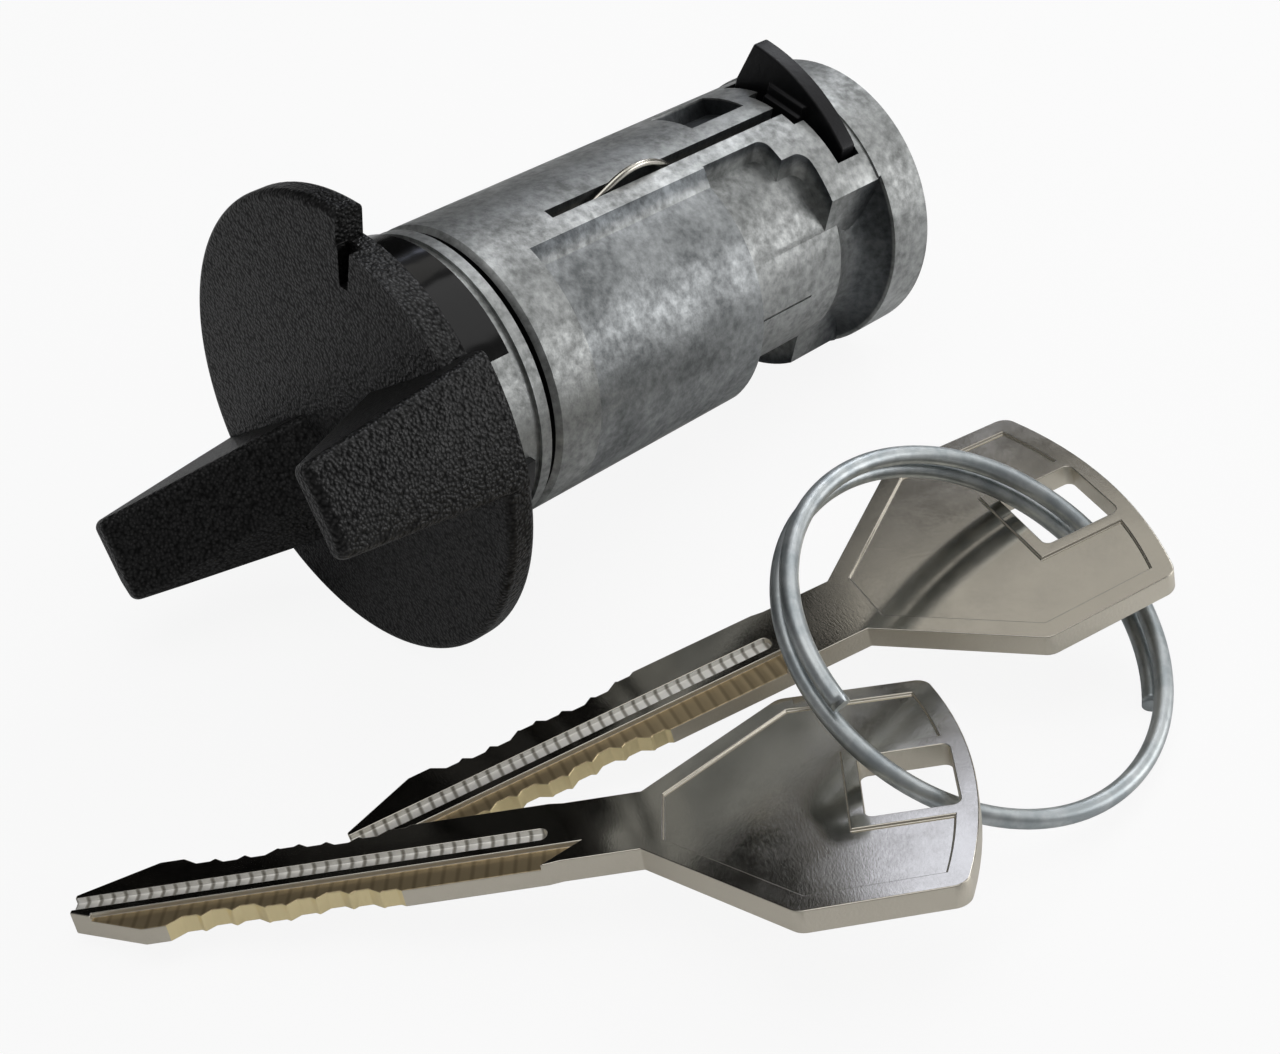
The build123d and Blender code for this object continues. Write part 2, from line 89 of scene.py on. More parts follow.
# Zinc alloy, die cast and tumbled, never plated. The skin froze in pale and dark clouds a few millimetres
# wide, handling has rubbed the pale ones smoother, and the tumbling left a grit, drawn a quarter of a
# millimetre wide so that it shows. A recess can fade from that skin to a darker one, along the lock's axis
# or with the distance from it: painted shade, for the light that reaches into a recess less and less
zinc = {"dark": "7d7f7e", "pale": "b7b9b8", "metallic": 0.92, "cloudSize": 0.0055, "fleckSize": 0.0009,
        "fleckShare": 0.55, "darkest": 0.36, "palest": 0.64, "smooth": 0.4, "dull": 0.56,
        "gritSize": 0.00026, "gritDepth": 0.000022, "waveSize": 0.0035, "waveDepth": 0.00007}


def makeZinc(name, dark=zinc["dark"], pale=zinc["pale"], metallic=zinc["metallic"], fadeBy=None,
             fadeFrom=0, fadeTo=1):
    material, tree, shader, coords = newMaterial(name, {"Metallic": metallic})
    clouds = addNode(tree, "ShaderNodeTexNoise", {"Scale": 1 / zinc["cloudSize"], "Detail": 3,
                                                  "Roughness": 0.5, "Distortion": 0.25}, {0: coords})
    flecks = addNode(tree, "ShaderNodeTexNoise", {"Scale": 1 / zinc["fleckSize"], "Detail": 6,
                                                  "Roughness": 0.62}, {0: coords})
    both = addNode(tree, "ShaderNodeMix", {0: zinc["fleckShare"]},
                   {2: clouds.outputs[0], 3: flecks.outputs[0]})
    share = addNode(tree, "ShaderNodeMapRange", {"From Min": zinc["darkest"], "From Max": zinc["palest"]},
                    {0: both.outputs[0]}).outputs[0]
    color = addNode(tree, "ShaderNodeMix", {"data_type": "RGBA", 6: linearColor(dark),
                                            7: linearColor(pale)}, {0: share})
    if fadeBy:
        plain = addNode(tree, "ShaderNodeMix", {"data_type": "RGBA", 6: linearColor(zinc["dark"]),
                                                7: linearColor(zinc["pale"])}, {0: share})
        apart = addNode(tree, "ShaderNodeSeparateXYZ", {}, {0: coords})
        across = addNode(tree, "ShaderNodeCombineXYZ", {}, {0: apart.outputs[0], 2: apart.outputs[2]})
        reach = addNode(tree, "ShaderNodeVectorMath", {"operation": "LENGTH"}, {0: across.outputs[0]})
        depth = addNode(tree, "ShaderNodeMapRange", {"interpolation_type": "SMOOTHSTEP", "From Min": fadeFrom,
                                                     "From Max": fadeTo},
                        {0: apart.outputs[1] if fadeBy == "axis" else reach.outputs["Value"]})
        color = addNode(tree, "ShaderNodeMix", {"data_type": "RGBA"},
                        {0: depth.outputs[0], 6: plain.outputs[2], 7: color.outputs[2]})
    tree.links.new(color.outputs[2], shader["Base Color"])
    rough = addNode(tree, "ShaderNodeMapRange", {"To Min": zinc["dull"], "To Max": zinc["smooth"]},
                    {0: share})
    tree.links.new(rough.outputs[0], shader["Roughness"])
    waves = addNode(tree, "ShaderNodeTexNoise", {"Scale": 1 / zinc["waveSize"], "Detail": 2}, {0: coords})
    wavy = addNode(tree, "ShaderNodeBump", {"Distance": zinc["waveDepth"]}, {"Height": waves.outputs[0]})
    grit = addNode(tree, "ShaderNodeTexNoise", {"Scale": 1 / zinc["gritSize"], "Detail": 2}, {0: coords})
    gritty = addNode(tree, "ShaderNodeBump", {"Distance": zinc["gritDepth"]},
                     {"Height": grit.outputs[0], "Normal": wavy.outputs[0]})
    tree.links.new(gritty.outputs[0], shader["Normal"])
    return material


# Nylon moulded in a spark-eroded tool. Its leather grain, pebbles a third of a millimetre wide, breaks the
# reflection of the white surface into grey specks, so that the black faces look matt
nylon = {"color": "090909", "roughness": 0.4, "pebbleSize": 0.0003, "pebbleDepth": 0.00012,
         "pebbleSoftness": 0.7, "warp": 0.00016, "crestAt": 0.15, "pitAt": 0.75, "crestGloss": 0.58,
         "pitGloss": 0.14, "fineSize": 0.00013, "fineDepth": 0.000012}


def makeGrainedNylon():
    material, tree, shader, coords = newMaterial("grainedNylon", {
        "Base Color": linearColor(nylon["color"]), "Roughness": nylon["roughness"]})
    warp = addNode(tree, "ShaderNodeTexNoise", {"Scale": 1 / nylon["pebbleSize"], "Detail": 1}, {0: coords})
    warped = addNode(tree, "ShaderNodeVectorMath", {"operation": "MULTIPLY_ADD", 1: [nylon["warp"]] * 3},
                     {0: warp.outputs[1], 2: coords})
    pebbles = addNode(tree, "ShaderNodeTexVoronoi", {
        "feature": "SMOOTH_F1", "Scale": 1 / nylon["pebbleSize"], "Smoothness": nylon["pebbleSoftness"]},
        {0: warped.outputs[0]})
    gloss = addNode(tree, "ShaderNodeMapRange", {
        "From Min": nylon["crestAt"], "From Max": nylon["pitAt"], "To Min": nylon["crestGloss"],
        "To Max": nylon["pitGloss"]}, {0: pebbles.outputs["Distance"]})
    tree.links.new(gloss.outputs[0], shader["Specular IOR Level"])
    domed = addNode(tree, "ShaderNodeBump", {"Distance": nylon["pebbleDepth"], "invert": True},
                    {"Height": pebbles.outputs["Distance"]})
    fine = addNode(tree, "ShaderNodeTexNoise", {"Scale": 1 / nylon["fineSize"], "Detail": 2}, {0: coords})
    rough = addNode(tree, "ShaderNodeBump", {"Distance": nylon["fineDepth"]},
                    {"Height": fine.outputs[0], "Normal": domed.outputs[0]})
    tree.links.new(rough.outputs[0], shader["Normal"])
    return material


# The same nylon where the tool was polished: the skirt behind the disc shines like lacquer, in soft waves
polish = {"roughness": 0.12, "gloss": 0.35, "wavesPerMetre": 260, "waveDepth": 0.00006}


def makePolishedNylon():
    material, tree, shader, coords = newMaterial("polishedNylon", {
        "Base Color": linearColor(nylon["color"]), "Roughness": polish["roughness"],
        "Specular IOR Level": polish["gloss"]})
    waves = addNode(tree, "ShaderNodeTexNoise", {"Scale": polish["wavesPerMetre"], "Detail": 1}, {0: coords})
    wavy = addNode(tree, "ShaderNodeBump", {"Distance": polish["waveDepth"]}, {"Height": waves.outputs[0]})
    tree.links.new(wavy.outputs[0], shader["Normal"])
    return material


# Steel pressing with a black oxide skin and a little oil: nearly black with a low satin gleam
blackOxide = {"color": "1c1c1e", "metallic": 0.6, "roughness": 0.42, "grainSize": 0.0007,
              "grainDepth": 0.00004}


def makeBlackSteel():
    material, tree, shader, coords = newMaterial("blackedSteel", {
        "Base Color": linearColor(blackOxide["color"]), "Metallic": blackOxide["metallic"],
        "Roughness": blackOxide["roughness"]})
    grain = addNode(tree, "ShaderNodeTexNoise", {"Scale": 1 / blackOxide["grainSize"], "Detail": 3},
                    {0: coords})
    grainy = addNode(tree, "ShaderNodeBump", {"Distance": blackOxide["grainDepth"]},
                     {"Height": grain.outputs[0]})
    tree.links.new(grainy.outputs[0], shader["Normal"])
    return material


# Wire dipped in zinc: a pale, bluish and dull coat with soft runs
galvanised = {"dark": "a9b0b3", "pale": "c6cbcc", "metallic": 0.95, "roughness": 0.42, "darkest": 0.4,
              "palest": 0.6, "runSize": 0.0028, "runDepth": 0.00005}


def makeGalvanisedWire():
    material, tree, shader, coords = newMaterial("galvanisedWire", {
        "Metallic": galvanised["metallic"], "Roughness": galvanised["roughness"]})
    runs = addNode(tree, "ShaderNodeTexNoise", {"Scale": 1 / galvanised["runSize"], "Detail": 4,
                                                "Roughness": 0.6}, {0: coords})
    share = addNode(tree, "ShaderNodeMapRange", {"From Min": galvanised["darkest"],
                                                 "From Max": galvanised["palest"]}, {0: runs.outputs[0]})
    color = addNode(tree, "ShaderNodeMix", {"data_type": "RGBA", 6: linearColor(galvanised["dark"]),
                                            7: linearColor(galvanised["pale"])}, {0: share.outputs[0]})
    tree.links.new(color.outputs[2], shader["Base Color"])
    lumpy = addNode(tree, "ShaderNodeBump", {"Distance": galvanised["runDepth"]}, {"Height": runs.outputs[0]})
    tree.links.new(lumpy.outputs[0], shader["Normal"])
    return material


# Brass blanks with a thin nickel plate, polished by pockets: mirror bright and warm. Real scratches are
# finer than the picture shows, so they are drawn coarser, slanted on the blade, and grey the mirror a little
nickel = {"color": "b8b3a8", "smooth": 0.08, "dull": 0.17, "scratchSize": 0.0002, "scratchStretch": 0.45,
          "scratchSlant": 0.9, "scratchDepth": 0.000003, "smearSize": 0.004, "smearShare": 0.6,
          "smoothAt": 0.35, "dullAt": 0.65, "waveSize": 0.012, "waveDepth": 0.00003}


def makeNickelPlate(name, place, turn):
    material, tree, shader, onKey = newMaterial(name, {"Base Color": linearColor(nickel["color"]),
                                                       "Metallic": 1.0}, place, turn)
    along = addNode(tree, "ShaderNodeMapping", {"Rotation": (0, 0, nickel["scratchSlant"]),
                                                "Scale": (1, nickel["scratchStretch"], 1)}, {0: onKey})
    hairs = addNode(tree, "ShaderNodeTexNoise", {"Scale": 1 / nickel["scratchSize"], "Detail": 3,
                                                 "Roughness": 0.7}, {0: along.outputs[0]})
    smears = addNode(tree, "ShaderNodeTexNoise", {"Scale": 1 / nickel["smearSize"], "Detail": 4,
                                                  "Roughness": 0.6}, {0: onKey})
    wear = addNode(tree, "ShaderNodeMix", {0: nickel["smearShare"]},
                   {2: hairs.outputs[0], 3: smears.outputs[0]})
    rough = addNode(tree, "ShaderNodeMapRange", {
        "From Min": nickel["smoothAt"], "From Max": nickel["dullAt"], "To Min": nickel["smooth"],
        "To Max": nickel["dull"]}, {0: wear.outputs[0]})
    tree.links.new(rough.outputs[0], shader["Roughness"])
    waves = addNode(tree, "ShaderNodeTexNoise", {"Scale": 1 / nickel["waveSize"], "Detail": 1}, {0: onKey})
    wavy = addNode(tree, "ShaderNodeBump", {"Distance": nickel["waveDepth"]}, {"Height": waves.outputs[0]})
    scratched = addNode(tree, "ShaderNodeBump", {"Distance": nickel["scratchDepth"]},
                        {"Height": hairs.outputs[0], "Normal": wavy.outputs[0]})
    tree.links.new(scratched.outputs[0], shader["Normal"])
    return material


# The keys' edges, torn and coarse under the plate from the blanking, look dull; their paler colour is a
# painted reflection of the white surface
blankedAndSheen = {"color": "ddd6c7", "metallic": 0.75, "roughness": 0.38, "tearSize": 0.0003, "tearDepth": 0.00003}


def makeBlankedNickelSheen():
    material, tree, shader, coords = newMaterial("blankedNickelSheen", {
        "Base Color": linearColor(blankedAndSheen["color"]), "Metallic": blankedAndSheen["metallic"],
        "Roughness": blankedAndSheen["roughness"]})
    torn = addNode(tree, "ShaderNodeTexNoise", {"Scale": 1 / blankedAndSheen["tearSize"], "Detail": 3}, {0: coords})
    coarse = addNode(tree, "ShaderNodeBump", {"Distance": blankedAndSheen["tearDepth"]}, {"Height": torn.outputs[0]})
    tree.links.new(coarse.outputs[0], shader["Normal"])
    return material


# A wave texture's scale is this over the distance from band to band
bandScale = math.pi / 10

# Bare brass where the cutter went through the plate: pale gold with chatter marks across the blade, drawn
# half a millimetre apart so that they show
brass = {"color": "fdecbb", "metallic": 0.75, "roughness": 0.42, "chatterPitch": 0.0005,
         "chatterDepth": 0.000012}


def makeCutBrass(name, place=None, turn=None):
    material, tree, shader, coords = newMaterial(name, {
        "Base Color": linearColor(brass["color"]), "Metallic": brass["metallic"],
        "Roughness": brass["roughness"]}, place, turn)
    chatter = addNode(tree, "ShaderNodeTexWave", {"Scale": bandScale / brass["chatterPitch"],
                                                  "Distortion": 1.5, "Detail": 2}, {0: coords})
    marked = addNode(tree, "ShaderNodeBump", {"Distance": brass["chatterDepth"]},
                     {"Height": chatter.outputs[1]})
    tree.links.new(marked.outputs[0], shader["Normal"])
    return material


# The groove and the relief beside it were milled and then plated too: nickel over the cutter's steps. In
# the groove the steps' white flashes are painted highlights between grey ridges, and in the relief the brass
# shows brown through the thin plate
milled = {"metallic": 0.7, "ridgeAt": 0.35, "stepDepth": 0.000015}
keyGrooveGlints = {"color": "fbf9f4", "ridgeColor": "a29e95", "stepPitch": 0.0011, "roughness": 0.5}
keyRelief = {"color": "b3a07e", "ridgeColor": "988769", "stepPitch": 0.0012, "roughness": 0.3}


def makeMilledNickel(name, place, turn, look):
    material, tree, shader, onKey = newMaterial(name, {
        "Metallic": milled["metallic"], "Roughness": look["roughness"]}, place, turn)
    steps = addNode(tree, "ShaderNodeTexWave", {"Scale": bandScale / look["stepPitch"], "Distortion": 0.8,
                                                "Detail": 1, "Detail Scale": 0.5}, {0: onKey})
    ridges = addNode(tree, "ShaderNodeMapRange", {"From Max": milled["ridgeAt"]}, {0: steps.outputs[1]})
    tone = addNode(tree, "ShaderNodeMix", {"data_type": "RGBA", 6: linearColor(look["ridgeColor"]),
                                           7: linearColor(look["color"])}, {0: ridges.outputs[0]})
    tree.links.new(tone.outputs[2], shader["Base Color"])
    stepped = addNode(tree, "ShaderNodeBump", {"Distance": milled["stepDepth"]}, {"Height": steps.outputs[1]})
    tree.links.new(stepped.outputs[0], shader["Normal"])
    return material


# The card under the lock slopes in the lock's own frame. Its glow is for the camera alone
surface = {"height": -0.021386, "tilt": 6.94, "halfSize": 1.5, "white": 0.9, "glow": 1.0, "glowShare": 0.9}

# Where the keys lie on it: the tip's place and the turns in degrees
keyPoses = {
    "near_key": {"tip": (0.01029, -0.05288, 0.003), "heading": 46.91, "pitch": 5.71, "roll": -12.86},
    "far_key": {"tip": (0.0225, -0.03248, 0.00234), "heading": 69.05, "pitch": 6.68, "roll": -5.09},
}


def keyMatrix(pose):
    tilt = Matrix.Rotation(math.radians(surface["tilt"]), 4, "X")
    turned = (Matrix.Rotation(math.radians(pose["heading"]), 4, "Z")
              @ Matrix.Rotation(math.radians(-pose["pitch"]), 4, "Y")
              @ Matrix.Rotation(math.radians(pose["roll"]), 4, "X"))
    return Matrix.Translation((0, 0, surface["height"])) @ tilt @ Matrix.Translation(pose["tip"]) @ turned


# The castings' plain skin, then the panel on the case's side, whose darker skin is painted shade
castZinc = makeZinc("castZinc")
panelShadeZinc = makeZinc("panelShadeZinc", "6e7172", "a2a5a6")
# Walls of the waist and of the slots: painted shade, plain at their foot and darker towards the rim
recessShadeZinc = makeZinc("recessShadeZinc", "45484a", "73777a", fadeBy="reach", fadeFrom=0.0131, fadeTo=0.0145)
# Painted shade: the cove darkens towards the rear ring, and the ring's front side and the top pocket are dark
# to the rim
coveShadeZinc = makeZinc("coveShadeZinc", "3f4244", "66696b", fadeBy="axis", fadeFrom=0.0408, fadeTo=0.0462)
coveEndShadeZinc = makeZinc("coveEndShadeZinc", "3f4244", "66696b", fadeBy="reach", fadeFrom=0.01478, fadeTo=0.0145)
# Painted shade on the running faces between case and plug, so that the gap between them reads black
gapShadeZinc = makeZinc("gapShadeZinc", "050505", "0c0c0c", metallic=0)
grainedNylon = makeGrainedNylon()
polishedNylon = makePolishedNylon()
blackedSteel = makeBlackSteel()
# Drawn steel wire, bright from the die: the tab's spring and the springs of the wafers
brightWire = newMaterial("brightWire", {"Base Color": linearColor("c6c2b8"), "Metallic": 1.0,
                                        "Roughness": 0.24})[0]
galvanisedWire = makeGalvanisedWire()
# The keys' edges: coarse and dull, and paler by a painted reflection of the white surface
blankedNickelSheen = makeBlankedNickelSheen()
print("materials made")

# How the meshes are refined: vertices closer than a distance become one, and angles are in degrees
refining = {"mergeDistance": 2e-6, "flatAngle": 0.6, "edgeAngle": 32, "edgeSegments": 2, "faceWeight": 90,
            "springAngle": 35}


# The mesh of a node, with the vertices that neighbouring faces don't share yet made one
def mergedMesh(nodeName):
    bm = bmesh.new()
    bm.from_mesh(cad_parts[nodeName].data)
    bmesh.ops.remove_doubles(bm, verts=bm.verts, dist=refining["mergeDistance"])
    return bm


def makePiece(bm, name, material):
    mesh = bpy.data.meshes.new(name)
    bm.to_mesh(mesh)
    bm.free()
    mesh.materials.clear()
    mesh.materials.append(material)
    piece = bpy.data.objects.new(name, mesh)
    bpy.context.scene.collection.objects.link(piece)
    return piece


# Copy of a node's mesh with its flat parts joined, rounded edges and smooth shading
def refinedCopy(nodeName, pieceName, body, material, edgeWidth=0):
    bm = mergedMesh(nodeName)
    bmesh.ops.dissolve_limit(bm, angle_limit=math.radians(refining["flatAngle"]), verts=bm.verts,
                             edges=bm.edges)
    bmesh.ops.recalc_face_normals(bm, faces=bm.faces)
    piece = makePiece(bm, pieceName, material)
    piece.data.shade_smooth()
    if edgeWidth:
        edges = piece.modifiers.new("edges", "BEVEL")
        edges.width = edgeWidth
        edges.segments = refining["edgeSegments"]
        edges.limit_method = "ANGLE"
        edges.angle_limit = math.radians(refining["edgeAngle"])
        edges.harden_normals = True
    flat = piece.modifiers.new("flatFaces", "WEIGHTED_NORMAL")
    flat.weight = refining["faceWeight"]
    flat.keep_sharp = False
    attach(piece, body)
    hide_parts(nodeName)
    return piece


# Gives another material to the faces that a test picks by their middle and their direction
def dress(piece, material, picked):
    piece.data.materials.append(material)
    number = len(piece.data.materials) - 1
    for face in piece.data.polygons:
        if picked(face.center, face.normal):
            face.material_index = number


# Where the case's skins lie: how far along its axis and how far out from it
caseMarks = {"recessStart": 0.0055, "recessEnd": 0.0475, "recessReach": 0.0147, "floorSlope": 0.9,
             "panelEnd": 0.0283, "panelReach": 0.01475, "coveStart": 0.0405, "coveReach": 0.01465,
             "coveEndStart": 0.0468, "coveEndStop": 0.0476, "facing": -0.9, "pocketStart": 0.0315,
             "pocketEnd": 0.04, "pocketFar": -0.0056, "pocketNear": 0.0005, "pocketFloor": 0.0115,
             "frontEnd": 0.0001}


def reachOf(at):
    return math.hypot(at.x, at.z)


# The walls of the waist, the pockets and the slots, which get a darker skin of painted shade
def isWall(at, way):
    radial = (at.x * way.x + at.z * way.z) / reachOf(at)
    alongRecess = caseMarks["recessStart"] < at.y < caseMarks["recessEnd"]
    return alongRecess and reachOf(at) < caseMarks["recessReach"] and radial < caseMarks["floorSlope"]


# The low floor of the panel, and not the walls round it
def isPanel(at, way):
    alongPanel = caseMarks["recessStart"] < at.y < caseMarks["panelEnd"]
    return alongPanel and reachOf(at) < caseMarks["panelReach"] and not isWall(at, way)


def isCove(at, way):
    return caseMarks["coveStart"] < at.y < caseMarks["recessEnd"] and reachOf(at) < caseMarks["coveReach"]


# The rear ring's front side, and the small pocket on the top, which is deep and narrow and gets the same
# painted shade
def isCoveEnd(at, way):
    ringSide = caseMarks["coveEndStart"] < at.y < caseMarks["coveEndStop"] and way.y < caseMarks["facing"]
    alongPocket = caseMarks["pocketStart"] < at.y < caseMarks["pocketEnd"]
    acrossPocket = caseMarks["pocketFar"] < at.x < caseMarks["pocketNear"] and at.z > caseMarks["pocketFloor"]
    return ringSide or (alongPocket and acrossPocket and reachOf(at) < caseMarks["recessReach"])


# The case's front face round the plug, which gets the gap's painted shade
def isCaseFront(at, way):
    return at.y < caseMarks["frontEnd"] and way.y < caseMarks["facing"]


caseBarrel = refinedCopy("case_housing", "caseBarrel", "housing", castZinc, edgeWidth=0.00012)
dress(caseBarrel, recessShadeZinc, isWall)
dress(caseBarrel, panelShadeZinc, isPanel)
dress(caseBarrel, coveShadeZinc, isCove)
dress(caseBarrel, coveEndShadeZinc, isCoveEnd)
dress(caseBarrel, gapShadeZinc, isCaseFront)

# The plug gets the painted shade of the gap where it runs in the case, and its flange and tang keep the plain
# skin
plugMarks = {"gapShadeStart": -0.00095, "gapShadeEnd": 0.0414}
plugCore = refinedCopy("plug", "plugCore", "plug", castZinc, edgeWidth=0.00012)
dress(plugCore, gapShadeZinc, lambda at, way: plugMarks["gapShadeStart"] < at.y < plugMarks["gapShadeEnd"])

# The skirt behind the disc is the knob's polished part
knobMarks = {"skirtStart": -0.0099, "facing": -0.5}
knobMoulding = refinedCopy("knob", "knobMoulding", "plug", grainedNylon, edgeWidth=0.00025)
dress(knobMoulding, polishedNylon,
      lambda at, way: at.y > knobMarks["skirtStart"] and way.y > knobMarks["facing"])

refinedCopy("retaining_tab", "retainingTab", "retaining_tab", blackedSteel, edgeWidth=0.0002)
refinedCopy("key_ring", "keyRing", "key_ring", galvanisedWire)
print("lock and ring made")

# The key's plan from its tip: places along the blade and halves of its widths. The slopes tell its edges,
# its flat sides and a groove's round end apart by the direction of their faces
keyShape = {"thickness": 0.0022, "bladeHalf": 0.0042, "bladeEnd": 0.0448, "grooveHalf": 0.00075,
            "grooveSlack": 0.00001, "reliefGap": 0.0003, "cutStart": 0.0095, "cutEnd": 0.0292,
            "cutFloor": 0.0025, "skin": 0.0001, "edgeSlope": 0.3, "sideSlope": 0.7, "endSlope": 0.5}


def makeKey(nodeName, pieceName):
    matrix = keyMatrix(keyPoses[nodeName])
    place = tuple(matrix.translation)
    turn = tuple(matrix.to_euler())
    plate = makeNickelPlate(pieceName + "Nickel", place, turn)
    piece = refinedCopy(nodeName, pieceName, nodeName, plate, edgeWidth=0.00012)
    back = matrix.inverted()
    turnBack = back.to_3x3()
    half = keyShape["thickness"] / 2

    def isEdge(at, way):
        return abs((turnBack @ way).z) < keyShape["edgeSlope"]

    def isCut(at, way):
        spot = back @ at
        inCuts = keyShape["cutStart"] < spot.x < keyShape["cutEnd"]
        onRim = keyShape["cutFloor"] < abs(spot.y) < keyShape["bladeHalf"] - keyShape["skin"]
        return inCuts and onRim and isEdge(at, way)

    def isMilled(spot):
        return spot.x < keyShape["bladeEnd"] and abs(spot.z + half) < half - keyShape["skin"]

    def isGroove(at, way):
        spot = back @ at
        inGroove = abs(spot.y) < keyShape["grooveHalf"] + keyShape["grooveSlack"]
        return isMilled(spot) and inGroove and abs((turnBack @ way).x) < keyShape["endSlope"]

    def isRelief(at, way):
        spot = back @ at
        inRelief = abs(spot.y) > keyShape["grooveHalf"] + keyShape["reliefGap"]
        return isMilled(spot) and inRelief and abs((turnBack @ way).z) > keyShape["sideSlope"]

    dress(piece, blankedNickelSheen, isEdge)
    dress(piece, makeCutBrass(pieceName + "Brass", place, turn), isCut)
    dress(piece, makeMilledNickel(pieceName + "Groove", place, turn, keyGrooveGlints), isGroove)
    dress(piece, makeMilledNickel(pieceName + "Relief", place, turn, keyRelief), isRelief)


makeKey("near_key", "nearKey")
makeKey("far_key", "farKey")
print("keys made")

# The inner pieces that keep their own mesh: stamped brass wafers and the blacked clip
stampedBrass = makeCutBrass("stampedBrass")
for name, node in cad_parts.items():
    if name.startswith("wafer") and "spring" not in name:
        node.data.materials.clear()
        node.data.materials.append(stampedBrass)
    elif name == "retaining_clip":
        node.data.materials.clear()
        node.data.materials.append(blackedSteel)


# Copy of a spring's mesh. Each station along the axis gives it a ring of vertices
def springCopy(nodeName, pieceName, stations=()):
    bm = mergedMesh(nodeName)
    for station in stations:
        bmesh.ops.bisect_plane(bm, geom=[*bm.verts, *bm.edges, *bm.faces], plane_co=(0, station, 0),
                               plane_no=(0, 1, 0))
    piece = makePiece(bm, pieceName, brightWire)
    piece.data.shade_smooth()
    piece.data.set_sharp_from_angle(angle=math.radians(refining["springAngle"]))
    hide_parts(nodeName)
    return piece


# The wafers' springs stand in the plug, copied as their nodes are. In the lock they shorten when their wafer
# goes in, and those of odd wafers have their seats on the low side, those of even wafers on the high side
waferSpring = {"count": 8, "gripAngle": 34.0, "seat": 0.00455, "length": 0.0055, "travel": 0.0008}


def makeWaferSprings():
    for number in range(1, waferSpring["count"] + 1):
        piece = springCopy("wafer_spring_%d" % number, "waferSpring%d" % number)
        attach(piece, "plug")
        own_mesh(piece)


makeWaferSprings()

# The wire that lifts the tab lies in its slot in front, and in the lock its rear end goes down with the tab,
# behind the plug's end. The copy gets rings of vertices over its bend
wireBend = {"start": 0.0412, "end": 0.0432, "rings": 8}
stations = [wireBend["start"] + (wireBend["end"] - wireBend["start"]) * step / wireBend["rings"]
            for step in range(wireBend["rings"] + 1)]
retainerWire = springCopy("retainer_spring", "retainerWire", stations)
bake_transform(retainerWire)
print("small parts dressed")


# White card that the lock and the keys lie on. The camera sees it nearly white, with their soft shade
def makeSurface():
    material = bpy.data.materials.new("whiteSurface")
    material.use_nodes = True
    tree = material.node_tree
    tree.nodes.clear()
    diffuse = addNode(tree, "ShaderNodeBsdfDiffuse", {"Color": (*[surface["white"]] * 3, 1)})
    glow = addNode(tree, "ShaderNodeEmission", {"Color": (1, 1, 1, 1), "Strength": surface["glow"]})
    rays = addNode(tree, "ShaderNodeLightPath", {})
    share = addNode(tree, "ShaderNodeMath", {"operation": "MULTIPLY", 1: surface["glowShare"]},
                    {0: rays.outputs["Is Camera Ray"]})
    mix = addNode(tree, "ShaderNodeMixShader", {},
                  {0: share.outputs[0], 1: diffuse.outputs[0], 2: glow.outputs[0]})
    addNode(tree, "ShaderNodeOutputMaterial", {}, {0: mix.outputs[0]})
    bm = bmesh.new()
    bmesh.ops.create_grid(bm, x_segments=1, y_segments=1, size=surface["halfSize"])
    bmesh.ops.rotate(bm, verts=bm.verts, cent=(0, 0, 0),
                     matrix=Matrix.Rotation(math.radians(surface["tilt"]), 3, "X"))
    bmesh.ops.translate(bm, verts=bm.verts, vec=(0, 0, surface["height"]))
    makePiece(bm, "whiteSurface", material)


makeSurface()

# Black cards out of the picture. The keys' flat sides mirror them, so that they turn nearly black in part
cardAim = (0.03, -0.02, -0.01)
cards = {
    "cardBehind": {"azimuth": 167, "elevation": 33, "distance": 0.42, "width": 0.24, "height": 0.34,
                   "shade": 0.01},
    "cardLow": {"azimuth": 152.2, "elevation": 21, "distance": 0.40, "width": 0.13, "height": 0.17,
                "shade": 0.03},
}


def makeCards():
    for name, card in cards.items():
        bm = bmesh.new()
        bmesh.ops.create_grid(bm, x_segments=1, y_segments=1, size=0.5)
        bmesh.ops.scale(bm, verts=bm.verts, vec=(card["width"], card["height"], 1))
        az = math.radians(card["azimuth"])
        el = math.radians(card["elevation"])
        away = Vector((math.cos(az) * math.cos(el), math.sin(az) * math.cos(el), math.sin(el)))
        facing = away.to_track_quat("-Z", "Y").to_matrix()
        bmesh.ops.rotate(bm, verts=bm.verts, cent=(0, 0, 0), matrix=facing)
        bmesh.ops.translate(bm, verts=bm.verts, vec=Vector(cardAim) + away * card["distance"])
        material = newMaterial(name, {"Base Color": (*[card["shade"]] * 3, 1), "Roughness": 1.0,
                                      "Specular IOR Level": 0.0})[0]
        makePiece(bm, name, material)


makeCards()

# The photographer's place, from the rims of the case and the knob
camera = {"place": (0.132485, -0.106530, 0.105932), "azimuth": 45.21, "elevation": 36.205, "lens": 59.06,
          "sensor": 36, "clipStart": 0.005}


def makeCamera():
    az = math.radians(camera["azimuth"])
    el = math.radians(camera["elevation"])
    back = Vector((math.sin(az) * math.cos(el), -math.cos(az) * math.cos(el), math.sin(el)))
    right = Vector((math.cos(az), math.sin(az), 0))
    up = back.cross(right)
    data = bpy.data.cameras.new("camera")
    data.lens = camera["lens"]
    data.sensor_width = camera["sensor"]
    data.clip_start = camera["clipStart"]
    seen = bpy.data.objects.new("camera", data)
    turned = Matrix((right, up, back)).transposed().to_4x4()
    seen.matrix_world = Matrix.Translation(camera["place"]) @ turned
    bpy.context.scene.collection.objects.link(seen)
    bpy.context.scene.camera = seen


makeCamera()

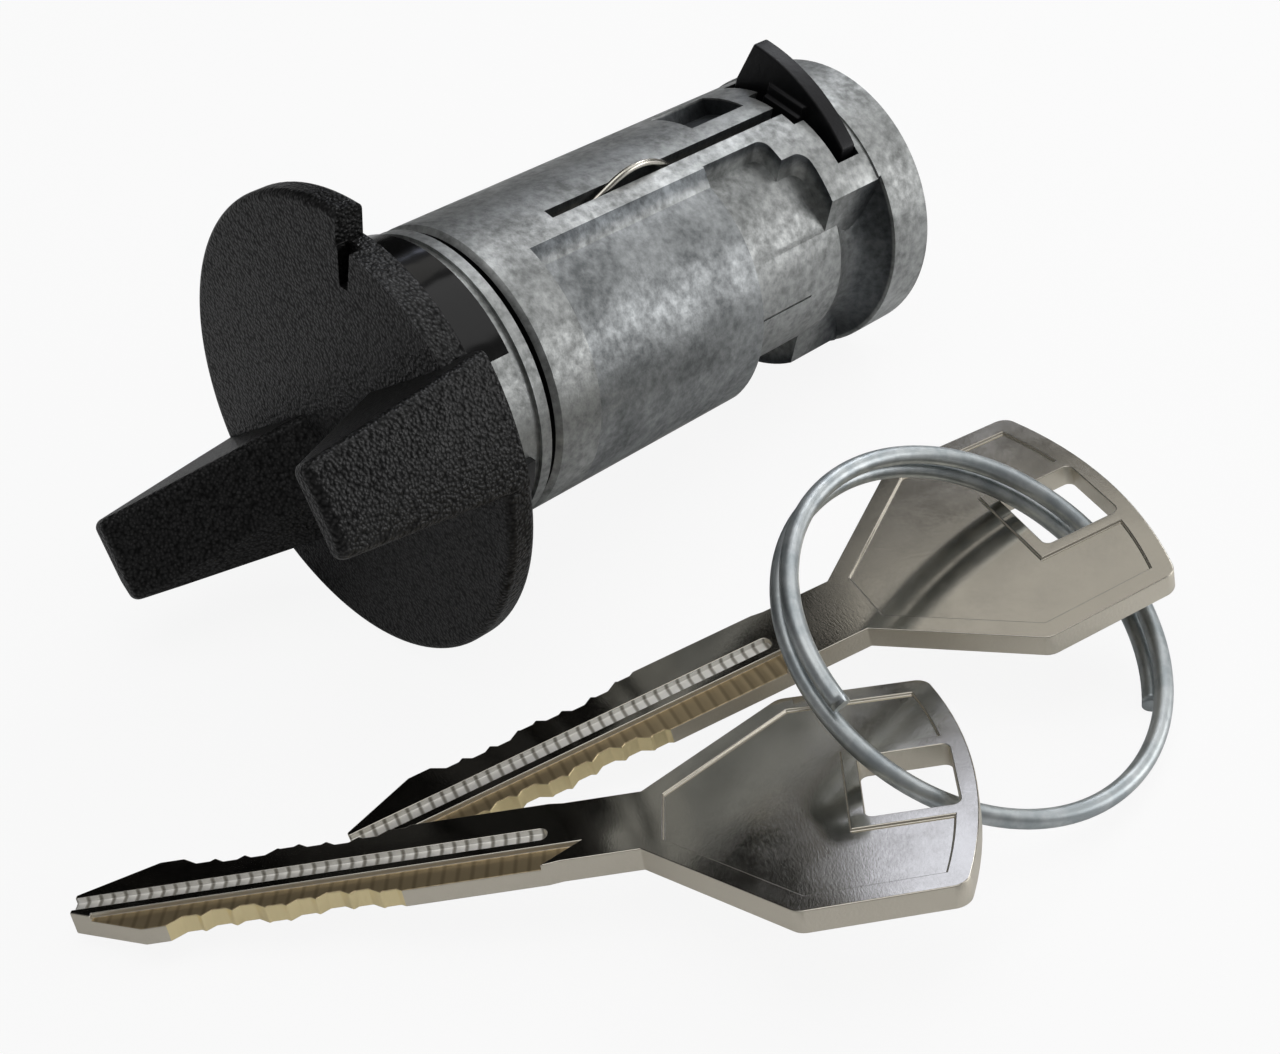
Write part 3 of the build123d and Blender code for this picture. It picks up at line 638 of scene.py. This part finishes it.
# Soft lights: one overhead, a broad fill above the lock, a window low on the right that runs along the
# case, one behind for the case's top, and two faint ones that only the bows mirror
lampAim = (0.02, 0.01, -0.01)
lamps = {
    "overhead": {"place": (0.12, 0.36, 0.46), "size": 0.46, "power": 0.62, "color": (1, 1, 1)},
    "fill": {"place": (0.0, -0.1, 0.62), "size": 0.5, "power": 1.05, "color": (1, 1, 1)},
    "window": {"place": (0.48, 0.44, 0.16), "size": 0.34, "power": 1.2, "color": (1, 1, 1)},
    "backTop": {"place": (-0.119, 0.355, 0.325), "size": 0.12, "power": 0.3, "color": (0.94, 0.96, 1)},
    "highBehind": {"place": (-0.25, 0.25, 0.46), "size": 0.2, "power": 0.07, "color": (1, 0.98, 0.93)},
    "behind": {"place": (-0.300, 0.303, 0.275), "size": 0.075, "power": 0.032, "color": (0.74, 0.8, 1)},
}


def makeLamps():
    for name, setting in lamps.items():
        data = bpy.data.lights.new(name, "AREA")
        data.energy = setting["power"]
        data.size = setting["size"]
        data.color = setting["color"]
        lamp = bpy.data.objects.new(name, data)
        lamp.location = setting["place"]
        aim = Vector(lampAim) - Vector(setting["place"])
        lamp.rotation_euler = aim.to_track_quat("-Z", "Y").to_euler()
        bpy.context.scene.collection.objects.link(lamp)


makeLamps()

# A soft white room for the light, and plain white where the camera looks past the card
room = {"light": 0.19, "seen": 1.0}


def makeWorld():
    world = bpy.data.worlds.new("studio")
    bpy.context.scene.world = world
    world.use_nodes = True
    tree = world.node_tree
    tree.nodes.clear()
    rays = addNode(tree, "ShaderNodeLightPath", {})
    soft = addNode(tree, "ShaderNodeBackground", {"Color": (1, 1, 1, 1), "Strength": room["light"]})
    white = addNode(tree, "ShaderNodeBackground", {"Color": (1, 1, 1, 1), "Strength": room["seen"]})
    mix = addNode(tree, "ShaderNodeMixShader", {}, {0: rays.outputs["Is Camera Ray"], 1: soft.outputs[0],
                                                    2: white.outputs[0]})
    addNode(tree, "ShaderNodeOutputWorld", {}, {0: mix.outputs[0]})


makeWorld()
bpy.context.scene.view_settings.view_transform = "Standard"
print("stage made")
